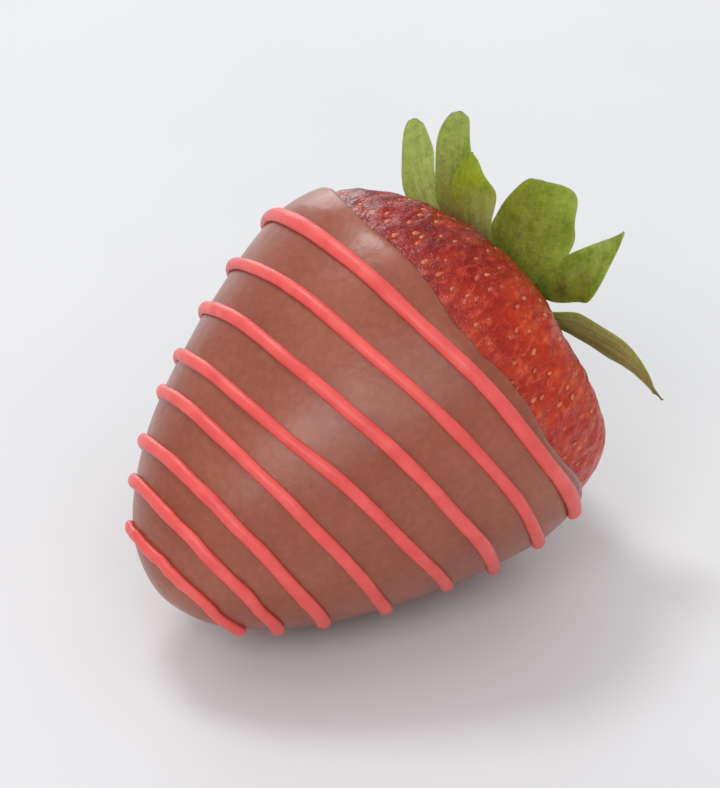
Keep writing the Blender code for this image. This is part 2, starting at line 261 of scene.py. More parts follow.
# ---------------------------------------------------------------- materials
class Nodes:
    """A material's node tree, with its Principled shader."""

    def __init__(self, name):
        self.material = bpy.data.materials.new(name)
        self.material.use_nodes = True
        self.tree = self.material.node_tree
        self.shader = self.tree.nodes["Principled BSDF"]

    def set(self, **sockets):
        for name, value in sockets.items():
            self.shader.inputs[name.replace("_", " ")].default_value = value

    def node(self, kind, links=(), **settings):
        made = self.tree.nodes.new(kind)
        for name, value in settings.items():
            setattr(made, name, value)
        for socket, source in links:
            if hasattr(source, "is_output"):
                self.tree.links.new(source, made.inputs[socket])
            else:
                made.inputs[socket].default_value = source
        return made

    def place(self):
        return self.node("ShaderNodeTexCoord").outputs["Object"]

    def attribute(self, name):
        return self.node("ShaderNodeAttribute", attribute_name=name).outputs["Fac"]

    def noise(self, size, detail=4.0, roughness=0.5, distortion=0.0):
        """Noise with features of about size metres."""
        links = (
            ("Vector", self.place()),
            ("Scale", 1 / size),
            ("Detail", detail),
            ("Roughness", roughness),
            ("Distortion", distortion),
        )
        return self.node("ShaderNodeTexNoise", links).outputs["Fac"]

    def remap(self, value, low, high, to_low=0.0, to_high=1.0):
        links = ((0, value), (1, low), (2, high), (3, to_low), (4, to_high))
        return self.node("ShaderNodeMapRange", links, clamp=True).outputs[0]

    def mix(self, share, first, second, blend="MIX"):
        made = self.node("ShaderNodeMix", ((0, share), (6, first), (7, second)), data_type="RGBA")
        made.blend_type = blend
        return made.outputs[2]

    def maths(self, operation, first, second=0.0):
        return self.node("ShaderNodeMath", ((0, first), (1, second)), operation=operation).outputs[0]

    def link(self, source, socket):
        self.tree.links.new(source, self.shader.inputs[socket])

    def bump(self, *layers):
        """Layers of (height from 0 to 1, its depth in metres)."""
        normal = None
        for height, depth in layers:
            links = [("Height", height), ("Distance", depth), ("Strength", 1.0)]
            if normal is not None:
                links.append(("Normal", normal))
            normal = self.node("ShaderNodeBump", links).outputs["Normal"]
        self.link(normal, "Normal")
        self.link(normal, "Coat Normal")


def rgb(red, green, blue):
    """A display colour from 0 to 255 as a linear one."""
    shares = (value / 255 for value in (red, green, blue))
    made = (v / 12.92 if v <= 0.04045 else ((v + 0.055) / 1.055) ** 2.4 for v in shares)
    return (*made, 1.0)


def chocolate_material():
    made = Nodes("milk_chocolate")
    clouds = made.noise(0.013, 3)
    colour = made.mix(made.remap(clouds, 0.35, 0.65), rgb(144, 74, 52), rgb(158, 88, 64))
    specks = made.noise(0.0008, 3)
    colour = made.mix(made.remap(specks, 0.5, 0.72, 0, 0.22), colour, rgb(176, 108, 84))
    colour = made.mix(made.remap(specks, 0.5, 0.30, 0, 0.22), colour, rgb(128, 58, 40))
    made.link(colour, "Base Color")
    made.link(made.remap(made.noise(0.004, 4), 0.3, 0.7, 0.27, 0.36), "Roughness")
    made.set(Specular_IOR_Level=0.48)
    made.set(Subsurface_Weight=0.08, Subsurface_Scale=0.001, Subsurface_Radius=(1.0, 0.45, 0.3))
    made.bump((made.noise(0.0045, 2), 0.00012), (made.noise(0.0007, 3), 0.00003))
    return made.material


def icing_material():
    made = Nodes("coral_icing")
    clouds = made.noise(0.003, 3)
    colour = made.mix(made.remap(clouds, 0.3, 0.7), rgb(226, 77, 73), rgb(240, 96, 90))
    made.link(colour, "Base Color")
    made.link(made.remap(made.noise(0.0012, 3), 0.3, 0.7, 0.34, 0.46), "Roughness")
    made.set(Specular_IOR_Level=0.5)
    made.set(Subsurface_Weight=0.06, Subsurface_Scale=0.0006, Subsurface_Radius=(1.0, 0.35, 0.3))
    made.bump((made.noise(0.0008, 3), 0.00003))
    return made.material


def skin_material():
    """Wet red skin: crimson near the leaves, where the darker red there is painted shade of the leaves,
    orange lower down, with short streaks between the seeds.
    """
    made = Nodes("strawberry_skin")
    pit, warm_and_leaf_shade, wet = made.attribute("pit"), made.attribute("warm_and_leaf_shade"), made.attribute("wet")
    clouds = made.remap(made.noise(0.004, 4), 0.35, 0.65)
    crimson = made.mix(clouds, rgb(114, 4, 8), rgb(148, 9, 12))
    orange = made.mix(clouds, rgb(178, 29, 10), rgb(202, 58, 18))
    # near the crown this mix keeps the darker crimson, which is painted shade of the leaves
    colour = made.mix(warm_and_leaf_shade, crimson, orange)
    colour = made.mix(made.maths("MULTIPLY", pit, 0.35), colour, rgb(200, 74, 36))
    sides = [(axis, made.attribute(key)) for axis, key in enumerate(("lengthwise", "east", "north"))]
    vector = made.node("ShaderNodeCombineXYZ", sides).outputs[0]
    links = (("Vector", vector), ("Scale", 1.0), ("Detail", 3.0), ("Roughness", 0.6), ("Distortion", 0.5))
    grain = made.node("ShaderNodeTexNoise", links).outputs["Fac"]
    light = made.mix(warm_and_leaf_shade, rgb(206, 66, 54), rgb(230, 108, 64))
    colour = made.mix(made.remap(grain, 0.52, 0.72, 0, 0.75), colour, light)
    colour = made.mix(made.remap(grain, 0.45, 0.30, 0, 0.5), colour, rgb(116, 4, 6))
    specks = made.noise(0.0006, 3, 0.6)
    colour = made.mix(made.remap(specks, 0.6, 0.75, 0, 0.4), colour, light)
    made.link(colour, "Base Color")
    made.link(made.remap(made.noise(0.0009, 3), 0.3, 0.7, 0.22, 0.42), "Roughness")
    made.link(made.remap(wet, 0.0, 1.0, 0.12, 0.75), "Coat Weight")
    made.set(Specular_IOR_Level=0.17, Coat_Roughness=0.07)
    made.set(Subsurface_Weight=0.12, Subsurface_Scale=0.0008, Subsurface_Radius=(1.0, 0.25, 0.12))
    made.bump((made.noise(0.0009, 3, 0.6, 0.8), 0.00034), (grain, 0.00022), (specks, 0.00008))
    return made.material


def seed_material():
    made = Nodes("strawberry_seeds")
    tone = made.attribute("tone")
    colour = made.mix(tone, rgb(188, 56, 34), rgb(220, 122, 76))
    colour = made.mix(made.remap(made.noise(0.0005, 2), 0.4, 0.7, 0, 0.5), colour, rgb(160, 52, 30))
    made.link(colour, "Base Color")
    made.set(Roughness=0.28, Specular_IOR_Level=0.5, Coat_Weight=0.6, Coat_Roughness=0.08)
    made.bump((made.noise(0.0003, 2), 0.00002))
    return made.material


def leaf_material():
    """Leaf colours: each leaf's own tone, mottled, with fibres, faint veins and a thin pale edge."""
    made = Nodes("green_leaf")
    along, span = made.attribute("along"), made.attribute("span")
    pale, yellow = made.attribute("pale"), made.attribute("yellow")
    out = made.maths("ABSOLUTE", span)
    mottle = made.remap(made.noise(0.0014, 5, 0.65), 0.38, 0.62)
    colour = made.mix(mottle, rgb(108, 138, 20), rgb(150, 172, 44))
    colour = made.mix(yellow, colour, rgb(172, 190, 16))
    colour = made.mix(pale, colour, rgb(172, 164, 98))

    stretch = ((0, made.maths("MULTIPLY", along, 2.5)), (1, made.maths("MULTIPLY", span, 9.0)), (2, pale))
    vector = made.node("ShaderNodeCombineXYZ", stretch).outputs[0]
    links = (("Vector", vector), ("Scale", 1.0), ("Detail", 3.0))
    fibres = made.node("ShaderNodeTexNoise", links).outputs["Fac"]
    for low, high, most, tone in ((0.45, 0.7, 0.7, rgb(176, 180, 118)), (0.5, 0.3, 0.5, rgb(96, 110, 44))):
        share = made.maths("MULTIPLY", made.remap(fibres, low, high), made.remap(pale, 0, 1, 0.15, most))
        colour = made.mix(share, colour, tone)

    slope = made.maths("SUBTRACT", made.maths("MULTIPLY", along, 8.0), made.maths("MULTIPLY", out, 2.4))
    wobble = made.maths("MULTIPLY", made.noise(0.0018, 3), 1.3)
    wave = made.maths("SINE", made.maths("MULTIPLY", made.maths("ADD", slope, wobble), 2 * math.pi))
    side_veins = made.remap(wave, 0.7, 1.0, 0, 0.22)
    midrib = made.remap(out, 0.0, 0.12, 0.45, 0)
    edge = made.remap(out, 0.93, 1.0, 0, 0.4)
    veins = made.maths("MAXIMUM", made.maths("MAXIMUM", side_veins, midrib), edge)
    colour = made.mix(veins, colour, rgb(158, 168, 84))
    links = (("Vector", made.place()), ("Scale", 1 / 0.0007))
    cells = made.node("ShaderNodeTexVoronoi", links, feature="DISTANCE_TO_EDGE").outputs["Distance"]
    colour = made.mix(made.remap(cells, 0.0, 0.12, 0.22, 0), colour, rgb(150, 160, 70))

    blotches = made.remap(made.noise(0.0010, 4, 0.6), 0.48, 0.74, 0, 0.5)
    colour = made.mix(blotches, colour, rgb(88, 112, 16))
    flecks = made.remap(made.noise(0.0006, 3, 0.6), 0.52, 0.72, 0, 0.35)
    colour = made.mix(flecks, colour, rgb(180, 192, 84))
    uneven = made.remap(made.noise(0.0006, 3), 0.3, 0.6, 0.4, 1.0)
    rust = made.maths("MULTIPLY", made.attribute("rust"), uneven)
    colour = made.mix(made.maths("MULTIPLY", rust, 0.8), colour, rgb(104, 66, 28))
    made.link(colour, "Base Color")
    made.link(made.remap(made.noise(0.002, 3), 0.3, 0.7, 0.42, 0.6), "Roughness")
    made.set(Specular_IOR_Level=0.35)
    made.set(Subsurface_Weight=0.12, Subsurface_Scale=0.0006, Subsurface_Radius=(0.5, 1.0, 0.2))
    made.bump((made.maths("SUBTRACT", 1.0, veins), 0.00006), (cells, 0.00008), (fibres, 0.00008))
    return made.material


def floor_material():
    made = Nodes("pale_floor")
    tone = made.remap(made.noise(0.05, 2), 0.3, 0.7)
    made.link(made.mix(tone, rgb(224, 224, 225), rgb(228, 228, 229)), "Base Color")
    made.set(Roughness=0.55, Specular_IOR_Level=0.3)
    return made.material


# ---------------------------------------------------------------- fruit and seeds
SEED_SPACING = 0.0025
SEED_PLOT = 0.86  # of the square of their spacing, for each seed
SEED_JITTER = 0.034  # radians
SEED_SIZE = (0.00044, 0.00025, 0.00018)  # half its length, width and thickness
SEED_SIZES = (0.72, 1.15)  # from the smallest to the largest, as shares of that
SEED_TAPER = 0.35
SEED_END = 1.15  # how far its wide end reaches, as a share of half its length
SEED_TURN = 0.25  # radians that a seed may stand askew
SEED_SUNK = (0.55, 0.85)  # shares of the pit's depth
SEED_RINGS, SEED_AROUND = 6, 10
BARE_RADIUS = 0.0035  # of the middle of the crown, where no seeds grow
PIT_RADIUS = 0.00095
PIT_DEPTH = 0.00024
PIT_SHARPNESS = 1.6
PIT_STRETCH = 0.8  # a pit's width as a share of its length
PIT_REACH = 2.5  # radii beyond which a pit isn't felt
PIT_FLANK = 0.006  # radius of the fruit's outline where the pits reach their full depth
GRAIN_TURNS = (10.0, 24.0)  # of the skin's grain per radian along and round the berry
SKIN_WAVES = ((0.0035, 0.00020, 1), (0.0016, 0.00016, 2))  # size, height and seed of its roughness
SKIN_LIFT = 0.0001
SKIN_BLEND = math.radians(4)  # over which the skin's detail sets in under the coat
WARM_ANGLE = math.radians(112)  # the side where the skin is orange
# towards the crown the orange gives way to darker crimson from about this polar angle, over this blend:
# painted shade of the leaves
LEAF_SHADE_POLAR = math.radians(160)
LEAF_SHADE_BLEND = math.radians(35)
WET_BLEND = math.radians(16)  # over which the shine by the dip line fades
SKIN_SEGMENTS = 600
SKIN_RINGS = 118
HIDDEN_RINGS = 12
UNDER_COAT = math.radians(9)  # how far the fine skin runs on under the coat
OUTLINE_STEPS = 2000
GOLDEN_ANGLE = math.pi * (3 - math.sqrt(5))


def seed_places():
    """Polar angles and angles of the seeds, in the spirals that they grow in."""
    polar = np.linspace(0, math.pi, OUTLINE_STEPS)
    station, radius = outline(polar)
    strip = np.hypot(np.diff(station), np.diff(radius)) * math.pi * (radius[1:] + radius[:-1])
    area = np.concatenate([[0], np.cumsum(strip)])
    count = int(area[-1] / (SEED_SPACING**2 * SEED_PLOT))
    share = (np.arange(count) + 0.5) / count
    places = np.interp(share * area[-1], area, polar)
    angles = (np.arange(count) * GOLDEN_ANGLE) % (2 * math.pi)
    spread = np.random.default_rng(4)
    places = places + spread.normal(0, SEED_JITTER, count)
    angles = angles + spread.normal(0, SEED_JITTER, count) / np.maximum(np.sin(places), 0.2)
    shown = (places > dip_edge(angles) - UNDER_COAT) & (outline(places)[1] > BARE_RADIUS)
    return places[shown], angles[shown]


def seed_frames(polar, angle):
    """Each seed's place, outward direction and long direction."""
    centre = surface(polar, angle)
    normal = surface_normal(polar, angle)
    length = surface(polar - PROBE, angle) - surface(polar + PROBE, angle)
    length = unit(length - normal * np.sum(length * normal, -1, keepdims=True))
    return centre, normal, length


def nearest_seed(points, centres, lengths):
    """For each point, its distance to the nearest seed, measured shorter along the seed."""
    best = np.full(len(points), 1.0)
    reach = PIT_RADIUS * PIT_REACH
    cells = {}
    for index, centre in enumerate(centres):
        cells.setdefault(tuple(np.floor(centre / reach).astype(int)), []).append(index)
    keys = np.floor(points / reach).astype(int)
    order = np.lexsort(keys.T)
    starts = np.flatnonzero(np.any(np.diff(keys[order], axis=0) != 0, axis=1)) + 1
    for group in np.split(order, starts):
        key = keys[group[0]]
        near = []
        for step in np.ndindex(3, 3, 3):
            near += cells.get(tuple(key + np.array(step) - 1), [])
        if not near:
            continue
        gap = points[group][:, None] - centres[near][None]
        lengthwise = np.sum(gap * lengths[near][None], -1)
        squared = np.sum(gap**2, -1) - lengthwise**2 + (lengthwise * PIT_STRETCH) ** 2
        best[group] = np.sqrt(squared.min(1))
    return best


def make_skin(centres, lengths):
    angle = np.linspace(0, 2 * math.pi, SKIN_SEGMENTS, endpoint=False)
    edge = dip_edge(angle) - UNDER_COAT
    hidden = np.linspace(0, 1, HIDDEN_RINGS, endpoint=False)[1:, None] * edge
    fine = edge + (math.pi - edge) * np.linspace(0, 1, SKIN_RINGS)[:-1, None]
    polar = np.concatenate([hidden, fine])
    angles = np.broadcast_to(angle, polar.shape)
    place = surface(polar, angles)
    normal = surface_normal(polar, angles)
    distance = nearest_seed(place.reshape(-1, 3), centres, lengths).reshape(polar.shape)
    pit = np.exp(-((distance / PIT_RADIUS) ** 2) * PIT_SHARPNESS)
    pit = pit * np.clip(outline(polar)[1] / PIT_FLANK, 0, 1)
    shown = np.clip((polar - edge) / SKIN_BLEND, 0, 1)
    rough = sum(smooth_noise(place, size, seed) * height for size, height, seed in SKIN_WAVES)
    lift = (rough + SKIN_LIFT - PIT_DEPTH * pit) * shown
    mesh = loft("strawberry_skin", place + normal * lift[..., None], surface(0, 0.0), surface(math.pi, 0.0))
    below = np.clip(0.15 + 1.15 * np.cos(angles - WARM_ANGLE), 0, 1)
    # the second factor turns the skin darker crimson towards the crown: painted shade of the leaves
    warm_and_leaf_shade = below * np.clip((LEAF_SHADE_POLAR - polar) / LEAF_SHADE_BLEND + 0.35, 0.15, 1)
    wet = np.clip(1.1 - (polar - dip_edge(angle)) / WET_BLEND, 0, 1) * (1 - 0.7 * warm_and_leaf_shade)
    for key, values in (
        ("pit", pit),
        ("warm_and_leaf_shade", warm_and_leaf_shade),
        ("wet", wet),
        ("lengthwise", polar * GRAIN_TURNS[0]),
        ("east", np.cos(angles) * GRAIN_TURNS[1]),
        ("north", np.sin(angles) * GRAIN_TURNS[1]),
    ):
        store(mesh, key, np.concatenate([values.ravel(), [0, 0]]))
    return add_piece("strawberry_skin", mesh, skin_material(), "fruit", "fruit")


def seed_shape():
    """One seed's points and faces round its own middle: a flat drop, wider towards the berry's tip."""
    polar = np.linspace(0, math.pi, SEED_RINGS + 1)[1:-1, None]
    turn = np.linspace(0, 2 * math.pi, SEED_AROUND, endpoint=False)
    wide = np.sin(polar) * (1 + SEED_TAPER * np.cos(polar))
    along = np.cos(polar) * np.ones(SEED_AROUND) * SEED_SIZE[0]
    shape = np.stack([along, wide * np.cos(turn) * SEED_SIZE[1], wide * np.sin(turn) * SEED_SIZE[2]], -1)
    ends = [(SEED_SIZE[0] * SEED_END, 0, 0), (-SEED_SIZE[0], 0, 0)]
    mesh = loft("seed", shape, *np.array(ends))
    faces = [tuple(reversed(face.vertices)) for face in mesh.polygons]
    bpy.data.meshes.remove(mesh)
    return np.concatenate([shape.reshape(-1, 3), ends]), faces


def make_seeds(centres, normals, lengths):
    """All the shown seeds in one mesh, each laid in its pit."""
    shape, shape_faces = seed_shape()
    draws = np.random.default_rng(7)
    points, faces, tones = [], [], []
    for centre, normal, length in zip(centres, normals, lengths):
        turn = draws.normal(0, SEED_TURN)
        along = length * math.cos(turn) + np.cross(normal, length) * math.sin(turn)
        basis = np.stack([along, np.cross(normal, along), normal])
        size = draws.uniform(*SEED_SIZES)
        sunk = PIT_DEPTH * draws.uniform(*SEED_SUNK)
        first = len(points) * len(shape)
        points.append(centre - normal * sunk + (shape * size) @ basis)
        faces += [tuple(first + corner for corner in face) for face in shape_faces]
        tones.append(np.full(len(shape), draws.uniform(0, 1)))
    mesh = bpy.data.meshes.new("strawberry_seeds")
    mesh.from_pydata(np.concatenate(points), [], faces)
    mesh.shade_smooth()
    store(mesh, "tone", np.concatenate(tones))
    return add_piece("strawberry_seeds", mesh, seed_material(), "fruit")


# ---------------------------------------------------------------- chocolate coat
COAT_SEGMENTS = 360
COAT_RINGS = 170
LIP_RINGS = 10
INNER_RINGS = 14
LIP_SHARE = 0.028
COAT_WAVES = ((0.014, 0.00016, 11), (0.005, 0.00007, 12))  # size, height and seed of its unevenness
RIM_WAVES = ((0.0022, 0.010, 21), (0.0009, 0.004, 22))  # size, height in radians and seed, by the dip line
INNER_OUTSET = -0.0004


def coat_outset(along):
    return COAT_OUTSET[0] + (COAT_OUTSET[1] - COAT_OUTSET[0]) * along


def settle(points):
    """Lets the chocolate near the floor pool into a flat foot."""
    height = points[..., 2]
    share = (height - FOOT_POOL) / FOOT_BLEND
    foot = (FOOT_POOL + FOOT_BLEND) * np.maximum(share, 0) ** FOOT_ROUND
    points[..., 2] = np.where(share >= 1, height, np.minimum(foot, FOOT_POOL + FOOT_BLEND))
    return points


def rim_edge(angle):
    """The dip line with the small uneven waves of a real one."""
    ring = np.stack([np.cos(angle), np.sin(angle), 0 * angle], -1) * FRUIT_RADIUS
    return dip_edge(angle) + sum(smooth_noise(ring, size, seed) * height for size, height, seed in RIM_WAVES)


def make_coat():
    """The cup of chocolate: up its outside to the dip line, over a round lip and back down inside."""
    angle = np.linspace(0, 2 * math.pi, COAT_SEGMENTS, endpoint=False)
    up = np.linspace(0, 1 - LIP_SHARE, COAT_RINGS + 1)[1:, None]
    turn = np.linspace(0, 1, LIP_RINGS + 1)[1:, None] * math.pi / 2
    down = np.linspace(1, 0, INNER_RINGS + 1)[1:-1, None]
    lip = INNER_OUTSET + (coat_outset(1) - INNER_OUTSET) * np.cos(turn)
    along = np.concatenate([up, 1 - LIP_SHARE + LIP_SHARE * np.sin(turn), down])
    outset = np.concatenate([coat_outset(up), lip, np.full(down.shape, INNER_OUTSET)])
    polar = along * rim_edge(angle)
    angles = np.broadcast_to(angle, polar.shape)
    outset = np.broadcast_to(outset, polar.shape)
    place = surface(polar, angles, outset)
    normal = surface_normal(polar, angles)
    uneven = sum(smooth_noise(place, size, seed) * height for size, height, seed in COAT_WAVES)
    shown = np.clip((outset - INNER_OUTSET) / (coat_outset(1) - INNER_OUTSET), 0, 1)
    place = settle(place + normal * (uneven * shown)[..., None])
    start = settle(surface(np.zeros(1), np.zeros(1), COAT_OUTSET[0]))[0]
    end = surface(0, 0.0, INNER_OUTSET)
    mesh = loft("milk_chocolate_coat", place, start, end)
    return add_piece("milk_chocolate_coat", mesh, chocolate_material(), "chocolate", "chocolate_coat")


# ---------------------------------------------------------------- icing
BEAD_RINGS = 150
BEAD_AROUND = 24
BEAD_HEIGHT = 0.0010  # of a bead as wide as BEAD_WIDTH
BEAD_WIDTH = 0.0018
BEAD_SPREAD = 0.94  # a bead's width as a share of its line's
BEAD_SQUASH = 0.7  # how much of a change of width its height takes on
BEAD_SINK = 0.00012  # how far a bead has sunk into the coat
BEAD_WAIST = 0.42  # share of its height at which it is widest
BEAD_UNDER = 0.1  # share of its height that is added below
BEAD_WANDER = (0.009, 0.00022)  # size and height of its wandering across the coat
BEAD_WAVES = ((0.006, 0.10, 1), (0.0018, 0.05, 2))  # size, share and seed of its changes of width
BLOB = 0.12  # swelling of its ends


def make_bead(number, lay, material):
    """One line of icing: a soft uneven bead that lies on the coat, with round swollen ends."""
    share = (1 - np.cos(np.linspace(0, math.pi, BEAD_RINGS + 2)[1:-1])) / 2
    angle = np.radians(lay.first + (lay.last - lay.first) * share)
    low = math.radians(lay.low)
    seed = 40 + number * 3
    walk = np.stack([angle * FRUIT_RADIUS, 0 * angle + number, 0 * angle], -1)
    reach = lay.reach + smooth_noise(walk, BEAD_WANDER[0], seed) * BEAD_WANDER[1]
    path = polar_on_plane(angle, reach, lay.slant, low)
    ahead = polar_on_plane(angle + PROBE, reach, lay.slant, low)
    outset = coat_outset(np.minimum(path / dip_edge(angle), 1))
    centre = surface(path, angle, outset)
    outward = surface_normal(path, angle, outset)
    forward = surface(ahead, angle + PROBE, outset) - centre
    sideways = unit(np.cross(outward, forward))
    waves = sum(smooth_noise(walk, size, seed + step) * most for size, most, step in BEAD_WAVES)
    width = lay.width * (1 + waves)
    length = np.linalg.norm(np.diff(centre, axis=0), axis=1).sum()
    from_end = np.minimum(share, 1 - share) * length / lay.width
    cap = np.sqrt(1 - (1 - np.minimum(from_end * 2, 1)) ** 2)
    blob = 1 + BLOB * np.exp(-((from_end / 0.9) ** 2))
    half = width * BEAD_SPREAD / 2 * cap * blob
    tall = BEAD_HEIGHT * (width / BEAD_WIDTH) ** BEAD_SQUASH * cap * blob
    turn = np.linspace(0, 2 * math.pi, BEAD_AROUND, endpoint=False)
    lift = np.sin(turn)
    lift = BEAD_WAIST + lift * np.where(lift > 0, 1 - BEAD_WAIST, BEAD_WAIST + BEAD_UNDER)
    side = sideways[:, None] * (np.cos(turn) * half[:, None])[..., None]
    rise = outward[:, None] * (lift * tall[:, None] - BEAD_SINK)[..., None]
    start = centre[0] + outward[0] * (tall[0] * BEAD_WAIST - BEAD_SINK)
    end = centre[-1] + outward[-1] * (tall[-1] * BEAD_WAIST - BEAD_SINK)
    mesh = loft(f"icing_line_{number}", centre[:, None] + side + rise, start, end)
    return add_piece(f"icing_line_{number}", mesh, material, "icing", f"drizzle_{number}")


# ---------------------------------------------------------------- leaves
LEAF_THICK = 0.0003
LEAF_THINNING = 0.55  # of its thickness, towards its tip
LEAF_STEPS = 56
LEAF_ACROSS = 44  # points round its thickness
LEAF_EDGE = 0.8  # power that crowds them towards its edges
LEAF_TIP_WIDTH = 0.0003
LEAF_ROOT_WIDTH = 0.0018
LEAF_CLAW = 0.35  # share of its length over which it widens from its root
LEAF_RIPPLE = (17, 0.00022)  # radians along the leaf, and height at its edge
MIDRIB = (0.12, 0.0002)  # share of half its width, and depth
SIDE_VEINS = (9, 2.6, 0.00004)  # how many along and across, and height
SLOPE_STEP = (0.002, 0.01)  # along and across, that a slope of the leaf is taken over

# Angle round the crown and size; rise at root and tip, in degrees from level with the crown;
# form of the outline; then twist, cup, sideways sweep and skew; last its narrow root and its colours.
Leaf = namedtuple(
    "Leaf",
    "angle length width root_rise tip_rise widest blunt tail twist cup sweep skew root pale yellow pale_root",
)
LEAVES = (
    Leaf(-63, 0.0205, 0.0042, 4, 70, 1.30, 0.30, 0, 68, 0.20, 0.00, 0, 0.8, 0.35, 0.0, 0.2),
    Leaf(-24, 0.0192, 0.0045, 0, 65, 1.38, 0.30, 0, 37, 0.20, 0.14, 0, 0.8, 0.35, 0.0, 0.2),
    Leaf(-16, 0.0165, 0.0046, -2, 34, 1.40, 0.86, 0, 52, 0.30, 0.23, 0.18, 0.8, 0.0, 0.7, 1.0),
    Leaf(20, 0.0165, 0.0087, 20, 18, 0.72, 0.32, 0, 26, 0.20, 0.02, 0.30, 0.6, 0.15, 0.25, 0.1),
    Leaf(66, 0.0167, 0.0058, 14, 48, 1.30, 0.90, 0, -65, 0.25, -0.23, 0.40, 0.8, 0.15, 0.0, 0.0),
    Leaf(102, 0.0195, 0.0064, 12, -23, 1.40, 0.43, 0.08, -5, 0.35, 0.00, 0.40, 0.25, 1.0, 0.0, 0.4),
    Leaf(150, 0.0155, 0.0068, 2, -26, 1.00, 0.80, 0, 12, 0.25, 0.05, 0, 0.7, 0.3, 0.2, 0.1),
    Leaf(191, 0.0170, 0.0056, 7, -6, 0.90, 0.85, 0, -14, 0.25, -0.08, 0, 0.7, 0.3, 0.1, 0.2),
    Leaf(232, 0.0162, 0.0080, 10, 30, 1.05, 0.65, 0, 10, 0.25, 0.06, 0, 0.7, 0.2, 0.3, 0.1),
    Leaf(273, 0.0160, 0.0048, 9, 3, 0.85, 0.90, 0, -20, 0.25, 0.10, 0, 0.7, 0.4, 0.1, 0.2),
)
WHORL_HEIGHTS = (0.3, 0.7)
# Brown spots: the leaf's number, the place along and across it, and their spread there.
Spot = namedtuple("Spot", "leaf along span length width")
SPOTS = (
    Spot(4, 0.40, 0.1, 0.05, 0.3),
    Spot(5, 1.0, 0.0, 0.07, 3.0),
    Spot(7, 1.0, 0.0, 0.05, 3.0),
    Spot(8, 1.0, 0.3, 0.04, 1.0),
)
PALE_END, PALE_BLEND = 0.8, 0.3  # where along a leaf its paler root ends, and how softly
CROWN_LIFT = 0.0003


def crown_outwards(angle):
    return across(angle) @ CROWN_TURN.T


def crown_middle():
    return surface(math.pi, 0.0) + CROWN_AXIS * CROWN_LIFT


def leaf_sheet(leaf, root_height, along, span, seed):
    """Points of a leaf's middle sheet, with along from root to tip and span from -1 to 1 across."""
    root_rise = math.radians(leaf.root_rise)
    bend = math.radians(leaf.tip_rise - leaf.root_rise) * along**2
    mean_rise = root_rise + bend / 3
    distance = LEAF_ROOT + leaf.length * along * np.cos(mean_rise)
    height = root_height + leaf.length * along * np.sin(mean_rise)
    outwards = crown_outwards(math.radians(leaf.angle))
    sideways = np.cross(CROWN_AXIS, outwards)
    slope = (root_rise + bend)[..., None]
    face = CROWN_AXIS * np.cos(slope) - outwards * np.sin(slope)
    turn = math.radians(leaf.twist) * (1 - np.cos(math.pi * along)) / 2
    turn = turn[..., None]
    direction = sideways * np.cos(turn) + face * np.sin(turn)
    blade_share = np.minimum(along / (1 - leaf.tail), 1)
    blade = np.maximum(np.sin(math.pi * blade_share**leaf.widest), 0) ** leaf.blunt
    span = span * (1 + leaf.skew * span * along)
    claw = leaf.root + (1 - leaf.root) * np.minimum(along / LEAF_CLAW, 1)
    least = LEAF_ROOT_WIDTH * (1 - along) + LEAF_TIP_WIDTH
    half = np.maximum(leaf.width * blade * claw, least) / 2
    middle = crown_middle() + CROWN_AXIS * height[..., None] + outwards * distance[..., None]
    middle = middle + sideways * (leaf.sweep * leaf.length * along**2)[..., None]
    cup = face * (half * leaf.cup * span**2)[..., None]
    ripple = np.sin(along * LEAF_RIPPLE[0] + seed) * np.abs(span) ** 3 * LEAF_RIPPLE[1]
    ripple = ripple * np.minimum(along * 4, 1)
    return middle + direction * (half * span)[..., None] + cup + face * ripple[..., None]


def leaf_rings(leaf, root_height, seed):
    """The leaf as closed loops round its thickness, with each point's along and span."""
    along = np.linspace(0.0, 1.0, LEAF_STEPS)[:, None]
    along = along * (1 + 0.25 * (1 - along))
    turn = np.linspace(0, 2 * math.pi, LEAF_ACROSS, endpoint=False)[None, :]
    span = np.sign(np.cos(turn)) * np.abs(np.cos(turn)) ** LEAF_EDGE
    along, span, side = np.broadcast_arrays(along, span, np.sin(turn))
    step, aside = SLOPE_STEP
    place = leaf_sheet(leaf, root_height, along, span, seed)
    ahead = leaf_sheet(leaf, root_height, np.minimum(along + step, 1), span, seed)
    behind = leaf_sheet(leaf, root_height, np.maximum(along - step, 0), span, seed)
    right = leaf_sheet(leaf, root_height, along, span + aside, seed)
    left = leaf_sheet(leaf, root_height, along, span - aside, seed)
    normal = unit(np.cross(ahead - behind, right - left))
    thick = LEAF_THICK * (1 - LEAF_THINNING * along) / 2
    midrib = np.exp(-((span / MIDRIB[0]) ** 2)) * (1 - along) * MIDRIB[1] * np.where(side > 0, 0.4, 1.0)
    veins = SIDE_VEINS[2] * np.sin(2 * math.pi * (along * SIDE_VEINS[0] - np.abs(span) * SIDE_VEINS[1]))
    veins = veins * (1 - np.abs(span))
    offset = side * thick + (veins - midrib) * np.abs(side)
    return place + normal * offset[..., None], along, span


def leaf_tags(number, leaf, along, span):
    """What the material reads at each point of a leaf."""
    root = leaf.pale_root * np.clip((PALE_END - along) / PALE_BLEND, 0, 1)
    rust = 0 * along
    for spot in SPOTS:
        if spot.leaf == number:
            off = ((along - spot.along) / spot.length) ** 2 + ((span - spot.span) / spot.width) ** 2
            rust = np.maximum(rust, np.exp(-off))
    pale = leaf.pale + (1 - leaf.pale) * root
    return {"along": along, "span": span, "pale": pale, "yellow": leaf.yellow + 0 * along, "rust": rust}


